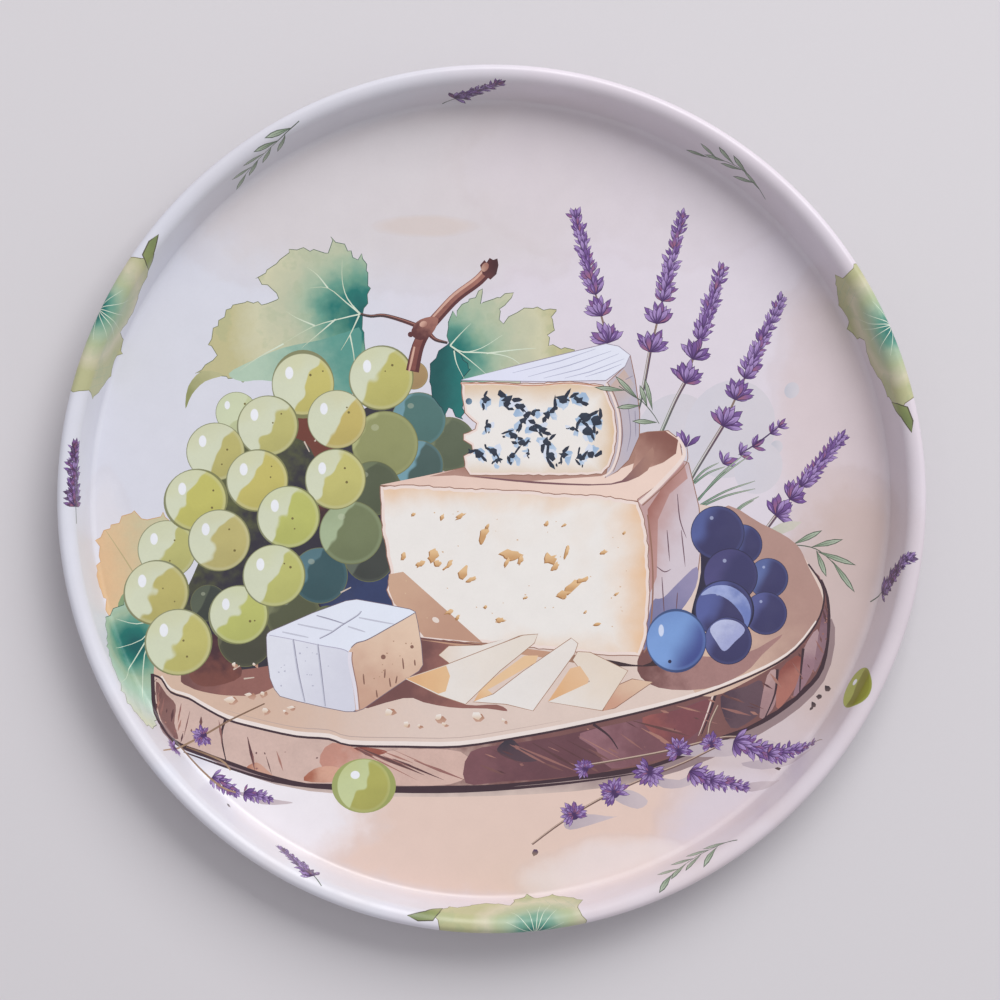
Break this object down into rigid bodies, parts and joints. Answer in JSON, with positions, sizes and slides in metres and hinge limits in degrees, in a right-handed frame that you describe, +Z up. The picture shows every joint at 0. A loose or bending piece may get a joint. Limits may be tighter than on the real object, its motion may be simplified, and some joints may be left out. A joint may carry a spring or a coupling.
{
  "type": "round serving tray",
  "caption": "Round pressed tin serving tray with a flat floor, a low leaning wall and a rolled, wire-stiffened rim, printed on its upper face.",
  "frame": {"origin": "centre of the flat underside, on the surface that the tray rests on", "axes": "+Z up out of the tray along its axis of symmetry; +Y points to the top edge of the printed picture and +X to its right"},
  "size_m": [0.33, 0.33, 0.02],
  "materials": {
    "printed_enamel": "white-enamelled tinplate, colour-printed on the upper face under a satin clear varnish; plain white enamel on the back",
    "steel_wire": "drawn steel wire, hidden in the curl"
  },
  "bodies": {
    "root": {"tray_pan": "printed_enamel", "rim_wire": "steel_wire"}
  },
  "joints": []
}
